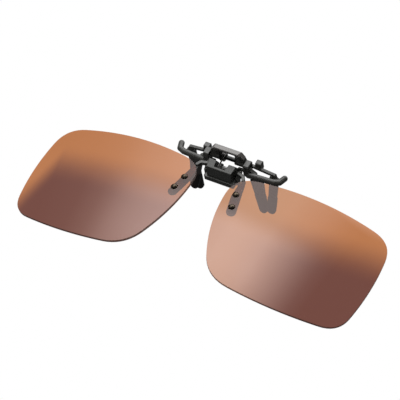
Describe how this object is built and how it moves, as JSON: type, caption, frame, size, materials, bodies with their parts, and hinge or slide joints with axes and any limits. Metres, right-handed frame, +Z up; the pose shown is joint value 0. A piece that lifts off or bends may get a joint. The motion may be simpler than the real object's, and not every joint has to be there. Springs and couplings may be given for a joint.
{
  "type": "clip on sunglasses",
  "caption": "Flip-up clip-on sunglasses: thin rimless brown lenses riveted to a moulded bridge that turns on a sprung clip with soft-tipped jaws.",
  "frame": {"origin": "middle of the jaw gap on the plane of symmetry, level with the centres of the grip sleeves", "axes": "+X across the face to the right lens, +Y back towards the wearer, +Z up, square to the lenses while they are raised"},
  "size_m": [0.1384, 0.0548, 0.0309],
  "materials": {
    "black_nylon": "satin",
    "lever_nylon": "satin",
    "pin_steel": "satin",
    "black_steel": "satin",
    "spring_steel": "bright",
    "rivet_metal": "polished",
    "brown_lens": "polished",
    "grip_rubber": "matt"
  },
  "bodies": {
    "clip_body": {"front_jaw": "black_nylon", "jaw_pin": "black_steel", "flip_pin": "pin_steel", "detent_leaf": "spring_steel", "jaw_spring": "spring_steel", "front_grip_left": "grip_rubber", "front_grip_right": "grip_rubber"},
    "lens_frame": {"lens_bridge": "black_nylon", "lens_left": "brown_lens", "lens_right": "brown_lens", "lens_rivets": "rivet_metal"},
    "rear_clip": {"rear_jaw": "black_nylon", "finger_lever": "lever_nylon", "rear_grip_left": "grip_rubber", "rear_grip_right": "grip_rubber"}
  },
  "joints": [
    {"name": "flip", "type": "hinge", "parent": "clip_body", "child": "lens_frame", "pos_m": [0, -0.0022, 0.0167], "axis": [1, 0, 0], "range_deg": [0, 84]},
    {"name": "squeeze", "type": "hinge", "parent": "clip_body", "child": "rear_clip", "pos_m": [0, 0.0013, 0.0182], "axis": [1, 0, 0], "range_deg": [0, 22], "stiffness_Nm_per_rad": 0.05, "springref_deg": -20.05, "deforming": ["jaw_spring"]}
  ]
}
